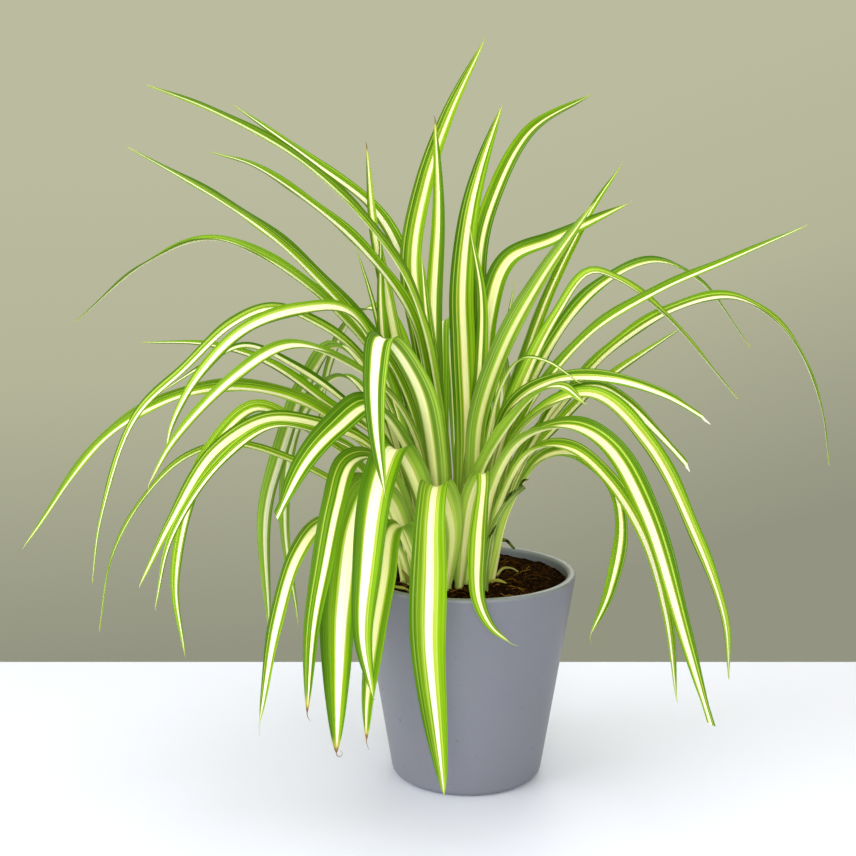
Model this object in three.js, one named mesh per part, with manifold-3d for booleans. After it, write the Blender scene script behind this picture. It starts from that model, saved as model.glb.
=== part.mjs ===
// Potted spider plant: a tapered ceramic pot, soil with a hole for every foot, a cut flower
// stalk, and 57 striped strap leaves that rise from one clump, arch over and hang.
// Millimetres, +Z up, origin at the centre of the pot's underside, -Y towards the viewer.
import * as THREE from "three";
import { mergeVertices } from "three/addons/utils/BufferGeometryUtils.js";
import Module from "manifold-3d";

const wasm = await Module();
wasm.setup();

// Driving dimensions of the pot
const POT_HEIGHT = 129;
const RIM_RADIUS = 67.5;
const BASE_RADIUS = 46.5;
const WALL = 5.2;
const FLOOR = 6;
const LIP_ROUND = 2.4;
const FOOT_ROUND = 5;
const POT_SIDES = 64;
const ROUND_STEPS = 3;

// Soil with low waves in its top, and the clump that the leaves grow from, left of the pot's axis
const SOIL_TOP = 124;
const SOIL_RELIEF = 0.9;
const WAVE_ALONG = 6;
const WAVE_DEEP = 5;
const SOIL_SIDES = 32;
const SOIL_RINGS = 5;
const GAP = 0.3;
const CLUMP = new THREE.Vector2(-9, 0);

// Leaf blade: a shallow channel, closed up at the foot and nearly flat at the tip
const FOOT_DEPTH = 8;
const FOOT_RISE = 2;
const FOOT_WIDTH = 5;
const TIP_WIDTH = 1;
const FOOT_THICKNESS = 1.6;
const BLADE_THICKNESS = 0.8;
const THICK_PART = 0.14;
const FOOT_CHANNEL = THREE.MathUtils.degToRad(38);
const TIP_CHANNEL = THREE.MathUtils.degToRad(14);
const WIDEST_AT = 0.45;
const TAPER_POWER = 0.65;
const STATIONS = 15;

// One row a leaf: bearing in degrees (0 right, 90 away, 180 left, 270 towards the viewer), where
// its foot stands, greatest width, roll about its own length in degrees, its route, and the width
// of its tip where that is cut blunt. Foot and route are measured from the middle of the clump:
// [reach, height, sideways sway], and a foot is its reach alone, or [reach, sway]. A roll of two
// numbers turns from the first at the foot to the second at the tip.
const LEAVES = {
  upright: [
    [90, [14, 1], 15, 0,
      [[15, 210, 8], [16, 270, 19], [18, 318, 26], [24, 365, 18], [30, 408, 3], [36, 452, -19]]],
    [90, [9, 5], 12, 0, [[9, 220, 10], [10, 285, 12], [11, 350, 9], [13, 403, 11]]],
    [90, [3, 6], 10, 0, [[3, 190, 7], [3, 252, 12], [4, 290, 16], [5, 321, 19]]],
    [90, [3, -3], 17, 0,
      [[3, 206, -8], [4, 267, -6], [6, 302, -5], [8, 345, -9], [11, 374, -16], [16, 411, -29]]],
    [50, 12, 12, 40, [[20, 215], [24, 270], [25, 327], [38, 357], [74, 398], [146, 427]]],
    [90, [-4, 0], 9, 0, [[-4, 218, -13], [-4, 264, -17], [-4, 300, -17], [-2, 338, -10]]],
    [145, 22, 10, -40, [[25, 205], [40, 255], [49, 292], [60, 338], [65, 389]]],
    [160, 18, 9, -50, [[21, 159], [35, 222], [44, 259], [47, 290], [47, 337]]],
    [158, 23.5, 5, -50, [[26, 161], [39, 232], [47, 268], [54, 296], [64, 326]]],
    [27, 13, 15, 45, [[20, 215], [24, 285], [37, 319], [70, 332], [126, 354]]],
    [314, 11, 14, -35, [[18, 180], [22, 226], [40, 269], [69, 311], [106, 352]]],
    [30, 20, 9, 35, [[32, 203], [49, 249], [73, 303], [102, 350], [125, 378]]],
    [50, 21, 5, 40, [[34, 160], [42, 221], [54, 275], [62, 304]]],
  ],
  left_high: [
    [214, 7, 15, -35, [[12, 236], [31, 303], [62, 343], [107, 378], [155, 400], [190, 411]]],
    [160, [21, -15], 13, -30,
      [[28, 250, -20], [35, 293, -21], [43, 324, -20], [62, 351, -24], [100, 382, -11], [149, 415, -7]]],
    [196, 10, 16, -35, [[15, 230], [28, 288], [55, 325], [84, 351], [119, 374], [142, 381]]],
    [183, 14.5, 17, -30, [[20, 205], [35, 251], [62, 287], [105, 331], [140, 356], [190, 385]]],
    [175, 18, 16, [-30, -5],
      [[32, 212], [48, 259], [76, 292], [114, 320], [148, 332], [188, 318], [234, 282]]],
  ],
  left: [
    [172, 24.5, 10, -25, [[32, 173], [46, 209], [78, 231], [115, 256], [153, 267], [196, 268]]],
    [192, 19.5, 11, -30,
      [[34, 220], [60, 265], [86, 284], [109, 292], [132, 283], [161, 257], [189, 230],
        [211, 170], [217, 134]]],
    [206, 15.5, 15, -30,
      [[27, 190], [48, 258], [69, 290], [97, 292], [131, 282], [158, 258], [174, 232], [178, 217]]],
    [224, 16, 12, -25,
      [[25, 195], [49, 238, 2], [86, 264, 1], [124, 276], [160, 263], [200, 233], [215, 213]]],
    [184, 22.5, 10, -20, [[36, 198], [65, 233], [96, 256], [125, 269], [149, 258], [175, 242]]],
    [185, 27, 13, -30, [[41, 190], [65, 217], [99, 238], [139, 244], [174, 236], [211, 213], [259, 150]]],
    [203, 28, 13, -30, [[35, 168], [54, 208], [88, 225], [117, 229], [148, 213], [174, 175], [193, 140]]],
    [217, 28, 8, -25,
      [[38, 160], [64, 205], [103, 226], [130, 230], [164, 210], [190, 176], [200, 141]]],
    [181, 31, 8, -25,
      [[42, 168], [73, 184], [100, 198], [136, 208], [166, 198], [193, 170], [211, 136], [220, 91]]],
    [197, 33, 12, [-15, -55],
      [[41, 165], [63, 200, -1], [97, 224, -5], [121, 234, -5], [146, 212, -3],
        [160, 183], [170, 134], [166, 91]]],
    [146, 27, 15, [-20, 55],
      [[38, 185], [65, 246], [90, 263], [115, 237], [139, 186], [153, 144], [151, 61]]],
    [134, 29, 11, [-20, 40],
      [[46, 180], [76, 226], [103, 241], [134, 224], [159, 190], [169, 130], [155, 60]]],
    [215, 33, 12, [-20, -35],
      [[42, 150, -2], [62, 164, -8], [86, 167, -11], [107, 153, -4], [124, 118, 1], [139, 63, 6]]],
  ],
  front: [
    [247, 26, 19, -12,
      [[33, 193, 1], [58, 248, 2], [86, 279, -7], [99, 262, -5], [107, 232, -1], [110, 199, 5]]],
    [230, 25, 21, [-20, -30], [[31, 175], [49, 216], [76, 240], [104, 230], [128, 214], [150, 186]], 5],
    [262, 30, 24, 0,
      [[40, 160, 4], [60, 186, 2], [82, 197], [99, 184], [104, 158], [107, 112], [110, 31, 9]]],
    [279, 26, 14, 0,
      [[42, 180, 3], [60, 200, 6], [74, 198, 4], [79, 166], [82, 134], [84, 118, 7], [86, 109, 17]]],
    [230, 28, 16, -20,
      [[41, 165], [66, 206, -2], [95, 209, 2], [110, 189, 6],
        [120, 156, 6], [127, 122, 4], [133, 76, 5]]],
    [239, 31, 25, [-5, -30],
      [[44, 150, -6], [58, 182, -12], [72, 191, -15], [83, 173, -19],
        [90, 128, -23], [95, 84, -22], [99, 40, -20]]],
    [251, 31, 21, -5,
      [[47, 183, -5], [64, 209, -9], [84, 217, -8], [104, 199, -9],
        [117, 160, -10], [122, 122, -11], [124, 90, -5]]],
    [240, 37, 17, 0,
      [[47, 150], [59, 167], [71, 167, 1], [80, 143, 2], [89, 112, 1], [97, 76], [100, 53]]],
    [298, 18, 16, 20, [[24, 168, -2], [40, 200, -1], [70, 232], [97, 251], [120, 256], [139, 250]]],
  ],
  right: [
    [1, 17, 15, [60, 5],
      [[27, 199], [42, 243], [63, 287], [82, 312], [99, 308], [128, 287], [174, 236]]],
    [12, 21, 14, [30, 10], [[35, 205], [57, 258], [90, 301], [128, 318], [158, 306], [194, 264]]],
    [352, 23, 9, 40, [[35, 200, 1], [47, 232], [63, 256], [88, 282], [124, 304], [164, 322], [204, 340]]],
    [8, 25, 11, 30,
      [[40, 193], [63, 224], [97, 263], [138, 289], [176, 296], [212, 274], [236, 229], [244, 189]]],
    [22, 26, 8, 30, [[40, 182], [70, 214], [101, 240], [162, 275]]],
    [338, 16, 15, 30, [[24, 190], [38, 232], [63, 249], [98, 252], [130, 244], [157, 230]], 5],
    [346, [27, -3], 13, 30,
      [[38, 180, -3], [52, 213], [70, 240], [88, 245], [104, 237], [126, 217], [144, 198]], 5],
    [330, 21, 14, 25, [[30, 185], [52, 226], [91, 244], [125, 219], [154, 170], [173, 124], [177, 90]]],
    [310, 25, 17, 15,
      [[38, 185], [61, 217], [98, 230], [128, 222], [155, 191], [184, 127], [202, 87]], 4],
    [318, 27, 11, 20, [[40, 179], [62, 211], [89, 215], [114, 201], [138, 173], [154, 132], [162, 85]]],
    [329, [28, -1], 14, [10, 60],
      [[42, 174, -2], [60, 203], [81, 209], [103, 196], [111, 172], [105, 131], [94, 103]]],
    [317, 17, 6, 20, [[26, 205, 1], [38, 247, 1], [53, 264], [72, 264], [94, 254]]],
  ],
  back: [
    [66, 27, 14, 0,
      [[40, 185, 3], [70, 235, 8], [110, 252, 15], [150, 225, 25], [178, 165, 36], [185, 110, 46]]],
    [82, 31, 15, 10, [[44, 180], [75, 215], [115, 222], [150, 185], [168, 130], [172, 75]]],
    [90, 24, 14, -10,
      [[37, 190, 6], [64, 250, 7], [105, 275, 6], [150, 255, -1], [190, 200, -5], [205, 140, -6]]],
    [104, 30, 16, 0, [[43, 175], [72, 220], [112, 232], [152, 200], [178, 140], [184, 80]]],
    [118, 32, 13, -15, [[42, 190], [62, 250], [94, 282], [140, 278], [185, 240], [210, 180]]],
  ],
};

// A cut flower stalk that leans out of the front of the clump
const STALK_WIDTH = 3.4;
const STALK_STEPS = 14;
const STALK_ARC_STEPS = 5;
const STALK_ROUTE = [[10, -33, 126], [11, -34, 144], [15, -35, 165], [24, -36, 181], [32, -36, 189]];

const COLOURS = {
  pot: { color: 0x8f939b, roughness: 0.42, metalness: 0 },
  soil: { color: 0x3a2516, roughness: 0.95, metalness: 0 },
  leaf: { color: 0x8dbb45, roughness: 0.45, metalness: 0 },
  stalk: { color: 0x9fae62, roughness: 0.55, metalness: 0 },
};

const model = new THREE.Group();

function addPart(name, geometry, finish) {
  const mesh = new THREE.Mesh(geometry, new THREE.MeshStandardMaterial(COLOURS[finish]));
  mesh.name = name;
  model.add(mesh);
}

// Solids to and from the library that cuts and joins them
const MERGE_WITHIN = 1e-4;

function toSolid(geometry) {
  const bare = geometry.clone();
  bare.deleteAttribute("normal");
  bare.deleteAttribute("uv");
  const merged = mergeVertices(bare, MERGE_WITHIN);
  const vertProperties = new Float32Array(merged.attributes.position.array);
  const triVerts = new Uint32Array(merged.index.array);
  return new wasm.Manifold(new wasm.Mesh({ numProp: 3, vertProperties, triVerts }));
}

function toGeometry(solid) {
  const mesh = solid.getMesh();
  const geometry = new THREE.BufferGeometry();
  geometry.setAttribute("position", new THREE.BufferAttribute(mesh.vertProperties, 3));
  geometry.setIndex(new THREE.BufferAttribute(mesh.triVerts, 1));
  geometry.computeVertexNormals();
  return geometry;
}

// Pot wall radii at a height
const outerRadius = (z) => BASE_RADIUS + (RIM_RADIUS - BASE_RADIUS) * z / POT_HEIGHT;
const innerRadius = (z) => outerRadius(z) - WALL;

// A profile of (radius, height) turned round the upright axis, closed on that axis
function turned(path, sides) {
  const lathe = new THREE.LatheGeometry(path.getPoints(ROUND_STEPS), sides);
  return lathe.rotateX(Math.PI / 2);
}

function makePot() {
  const lipStart = POT_HEIGHT - LIP_ROUND;
  const lipMiddle = RIM_RADIUS - WALL / 2;
  const cornerTop = FLOOR + FOOT_ROUND;
  const profile = new THREE.Path();
  profile.moveTo(0, 0);
  profile.lineTo(BASE_RADIUS - FOOT_ROUND, 0);
  profile.quadraticCurveTo(BASE_RADIUS, 0, outerRadius(FOOT_ROUND), FOOT_ROUND);
  profile.lineTo(outerRadius(lipStart), lipStart);
  profile.quadraticCurveTo(RIM_RADIUS, POT_HEIGHT, lipMiddle, POT_HEIGHT);
  profile.quadraticCurveTo(RIM_RADIUS - WALL, POT_HEIGHT, innerRadius(lipStart), lipStart);
  profile.lineTo(innerRadius(cornerTop), cornerTop);
  profile.quadraticCurveTo(innerRadius(FLOOR), FLOOR, innerRadius(FLOOR) - FOOT_ROUND, FLOOR);
  profile.lineTo(0, FLOOR);
  addPart("pot", turned(profile, POT_SIDES), "pot");
}

// Width, thickness and channel angle of a blade at a fraction of its length
function section(fraction, width, tip) {
  const grown = Math.sin(Math.PI / 2 * Math.min(1, fraction / WIDEST_AT));
  const past = Math.max(0, (fraction - WIDEST_AT) / (1 - WIDEST_AT));
  const taper = Math.cos(Math.PI / 2 * past) ** TAPER_POWER;
  const foot = Math.min(FOOT_WIDTH, width);
  const thin = Math.min(1, fraction / THICK_PART);
  return {
    half: Math.max(tip, (foot + (width - foot) * grown) * taper) / 2,
    thick: FOOT_THICKNESS + (BLADE_THICKNESS - FOOT_THICKNESS) * thin,
    channel: FOOT_CHANNEL + (TIP_CHANNEL - FOOT_CHANNEL) * Math.sqrt(fraction),
  };
}

// The directions that a leaf's row gives, and its line from the soil to the tip
function leafLine([bearing, foot, , , route]) {
  const angle = THREE.MathUtils.degToRad(bearing);
  const out = new THREE.Vector3(Math.cos(angle), Math.sin(angle), 0);
  const side = new THREE.Vector3(-Math.sin(angle), Math.cos(angle), 0);
  const at = (reach, height, sway = 0) => new THREE.Vector3(CLUMP.x, CLUMP.y, height)
    .addScaledVector(out, reach).addScaledVector(side, sway);
  const [reach, sway] = [foot].flat();
  const points = [at(reach, SOIL_TOP + FOOT_RISE, sway), ...route.map((point) => at(...point))];
  return { side, start: points[0], curve: new THREE.CatmullRomCurve3(points, false, "centripetal") };
}

// Directions across the blade and up from its inner face, where it runs along a tangent
function bladeFrame(tangent, side, roll) {
  const flat = side.clone().addScaledVector(tangent, -side.dot(tangent)).normalize();
  const across = flat.applyAxisAngle(tangent, roll);
  const up = new THREE.Vector3().crossVectors(tangent, across);
  return { across, up };
}

// Six corners of a blade's section: left, keel and right of the upper face, then of the lower
function ring(centre, { across, up }, { half, thick, channel }) {
  const edge = half * Math.cos(channel);
  const rise = half * Math.sin(channel);
  const corners = [];
  for (const face of [thick / 2, -thick / 2]) {
    for (const place of [-1, 0, 1]) {
      const lift = face + rise * Math.abs(place);
      corners.push(centre.clone().addScaledVector(across, edge * place).addScaledVector(up, lift));
    }
  }
  return corners;
}

// Skin over a row of six-cornered rings, closed at both ends
function skin(rings) {
  const around = [0, 1, 2, 5, 4, 3];
  const index = [];
  for (let row = 0; row + 1 < rings.length; row += 1) {
    around.forEach((from, k) => {
      const to = around[(k + 1) % around.length];
      const a = row * 6 + from;
      const b = row * 6 + to;
      if (k < 2) {
        index.push(a, a + 6, b, b, a + 6, b + 6);
      } else {
        index.push(a, b + 6, b, a, a + 6, b + 6);
      }
    });
  }
  const end = (rings.length - 1) * 6;
  for (const [p, q, r] of [[0, 4, 1], [0, 3, 4], [1, 5, 2], [1, 4, 5]]) {
    index.push(p, r, q);
    index.push(end + p, end + q, end + r);
  }
  const geometry = new THREE.BufferGeometry().setFromPoints(rings.flat());
  geometry.setIndex(index);
  geometry.computeVertexNormals();
  return geometry;
}

function makeLeaf(name, row) {
  const [, , width, roll, , tip = TIP_WIDTH] = row;
  const [footRoll, tipRoll = footRoll] = [roll].flat().map(THREE.MathUtils.degToRad);
  const { side, start, curve } = leafLine(row);
  const upright = bladeFrame(new THREE.Vector3(0, 0, 1), side, footRoll);
  const footSection = section(0, width, tip);
  const buried = start.clone().setZ(SOIL_TOP - FOOT_DEPTH);
  const rings = [ring(buried, upright, footSection), ring(start, upright, footSection)];
  for (let k = 1; k <= STATIONS; k += 1) {
    const fraction = k / STATIONS;
    const rollHere = THREE.MathUtils.lerp(footRoll, tipRoll, fraction);
    const frame = bladeFrame(curve.getTangentAt(fraction), side, rollHere);
    rings.push(ring(curve.getPointAt(fraction), frame, section(fraction, width, tip)));
  }
  addPart(name, skin(rings), "leaf");
  return footHole(buried, upright, footSection);
}

// A plain square-cornered hole in the soil, a gap wider than what stands in it
function hole(bottom, across, span, depth) {
  const height = FOOT_DEPTH + GAP + 2 * SOIL_RELIEF;
  const box = new THREE.BoxGeometry(span + 2 * GAP, depth + 2 * GAP, height);
  box.rotateZ(Math.atan2(across.y, across.x));
  box.translate(bottom.x, bottom.y, bottom.z + height / 2 - GAP);
  return box;
}

function footHole(buried, { across, up }, { half, thick, channel }) {
  const rise = half * Math.sin(channel);
  const middle = buried.clone().addScaledVector(up, rise / 2);
  return hole(middle, across, 2 * half * Math.cos(channel), rise + thick);
}

function makeStalk() {
  const [start, ...rest] = STALK_ROUTE.map((point) => new THREE.Vector3(...point));
  const buried = start.clone().setZ(SOIL_TOP - FOOT_DEPTH);
  const route = new THREE.CatmullRomCurve3([buried, start, ...rest], false, "centripetal");
  const round = new THREE.Shape().absarc(0, 0, STALK_WIDTH / 2, 0, 2 * Math.PI, false);
  const geometry = new THREE.ExtrudeGeometry(round, {
    extrudePath: route,
    steps: STALK_STEPS,
    curveSegments: STALK_ARC_STEPS,
    bevelEnabled: false,
  });
  addPart("flower_stalk", geometry, "stalk");
  return hole(buried, new THREE.Vector3(1, 0, 0), STALK_WIDTH + GAP, STALK_WIDTH + GAP);
}

// Soil that fills the pot to its uneven top, with the holes cut down into it
function makeSoil(holes) {
  const cornerTop = FLOOR + FOOT_ROUND;
  const bottom = FLOOR + GAP;
  const profile = new THREE.Path();
  profile.moveTo(0, bottom);
  profile.lineTo(innerRadius(FLOOR) - FOOT_ROUND - GAP, bottom);
  profile.quadraticCurveTo(innerRadius(FLOOR) - GAP, bottom, innerRadius(cornerTop) - GAP, cornerTop);
  for (let ringNumber = SOIL_RINGS; ringNumber >= 0; ringNumber -= 1) {
    profile.lineTo((innerRadius(SOIL_TOP) - GAP) * ringNumber / SOIL_RINGS, SOIL_TOP);
  }
  const geometry = turned(profile, SOIL_SIDES);
  const place = geometry.attributes.position;
  for (let k = 0; k < place.count; k += 1) {
    if (place.getZ(k) > SOIL_TOP - GAP) {
      const wave = Math.sin(place.getX(k) / WAVE_ALONG) * Math.cos(1 + place.getY(k) / WAVE_DEEP);
      place.setZ(k, SOIL_TOP + SOIL_RELIEF * wave);
    }
  }
  let solid = toSolid(geometry);
  for (const box of holes) {
    solid = solid.subtract(toSolid(box));
  }
  addPart("soil", toGeometry(solid), "soil");
}

makePot();
const holes = [makeStalk()];
for (const [place, rows] of Object.entries(LEAVES)) {
  rows.forEach((row, k) => holes.push(makeLeaf(`leaf_${place}_${k + 1}`, row)));
}
makeSoil(holes);

export default model;
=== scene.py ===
"""Potted spider plant: a grey ceramic pot, coir soil, a cut flower stalk and striped strap leaves.

Sizes are in millimetres unless a name says otherwise, and become metres as each mesh is made.
"""
import math
import random

import bpy
import numpy as np
from mathutils import Matrix, Vector, noise


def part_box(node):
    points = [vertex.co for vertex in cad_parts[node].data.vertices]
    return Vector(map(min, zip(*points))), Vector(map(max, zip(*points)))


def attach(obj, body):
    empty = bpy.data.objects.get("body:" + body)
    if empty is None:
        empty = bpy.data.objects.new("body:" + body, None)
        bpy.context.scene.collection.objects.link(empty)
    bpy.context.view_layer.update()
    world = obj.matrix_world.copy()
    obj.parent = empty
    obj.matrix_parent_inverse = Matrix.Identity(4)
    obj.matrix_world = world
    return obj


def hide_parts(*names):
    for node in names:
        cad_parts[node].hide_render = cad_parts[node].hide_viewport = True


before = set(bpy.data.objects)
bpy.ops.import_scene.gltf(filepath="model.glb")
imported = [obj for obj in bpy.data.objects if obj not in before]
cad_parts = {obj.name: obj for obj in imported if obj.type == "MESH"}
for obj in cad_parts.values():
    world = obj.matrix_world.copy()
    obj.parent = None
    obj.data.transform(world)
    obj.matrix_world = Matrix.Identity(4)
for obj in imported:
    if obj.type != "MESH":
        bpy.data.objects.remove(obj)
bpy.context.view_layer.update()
bpy.ops.object.select_all(action="DESELECT")

MM = 0.001
WELD = 1e-7

# Pot, soil and clump, as the solid ones are. The lighter band on the lip, partly paler glaze and partly a
# painted highlight, is in metres
POT_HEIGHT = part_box("pot")[1].z / MM
RIM_RADIUS = 67.5
BASE_RADIUS = 46.5
WALL = 5.2
FLOOR = 6
LIP_ROUND = 2.4
FOOT_ROUND = 5
POT_SIDES = 160
ROUND_STEPS = 8
OUTSIDE_STEPS = 11
INSIDE_STEPS = 7
FLOOR_ROUND_STEPS = 6
LIP_BAND = (0.1262, 0.1286)
SOIL_TOP = 124
CLUMP = (-9, 0)

# Leaf blade: a channel, folded at the foot and nearly flat at the tip
FOOT_DEPTH = 8
FOOT_RISE = 2
FOOT_WIDTH = 8
FOOT_SHARE = 0.7
TIP_WIDTH = 0.5
FOOT_THICKNESS = 1.5
BLADE_THICKNESS = 0.75
THICK_PART = 0.14
FOOT_CHANNEL = math.radians(48)
TIP_CHANNEL = math.radians(14)
WIDEST_AT = 0.45
FULL_AT = 0.4
TAPER_POWER = 0.65
KEEL_ROUND = 0.22
MARGIN_THICKNESS = 0.36
PLEATS = 3
PLEAT_DEPTH = 0.09
PLEAT_EDGE = 4
LENS_POWER = 1.6
RIPPLE_DEPTH = 0.7
RIPPLE_LENGTH = 46
RIPPLE_TURNS = (2 * math.pi, 5.1)
RIPPLE_EDGE = 3
FULL_HALF = 6
FULL_SHARE = 0.25
TWIST = math.radians(9)
CUT_SLANT = 0.9
CUT_FROM = 0.91
PINCH_REACH = 0.13
HAIR_END = 0.3
HAIR_ASIDE = (0.3, 1, 0.2)

# Faces of a blade: across its upper side, its lower side, and along it
UPPER_FACES = 30
LOWER_FACES = 14
FOOT_STATIONS = 3
STATIONS = 88
HAIR_STATIONS = 8

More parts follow.
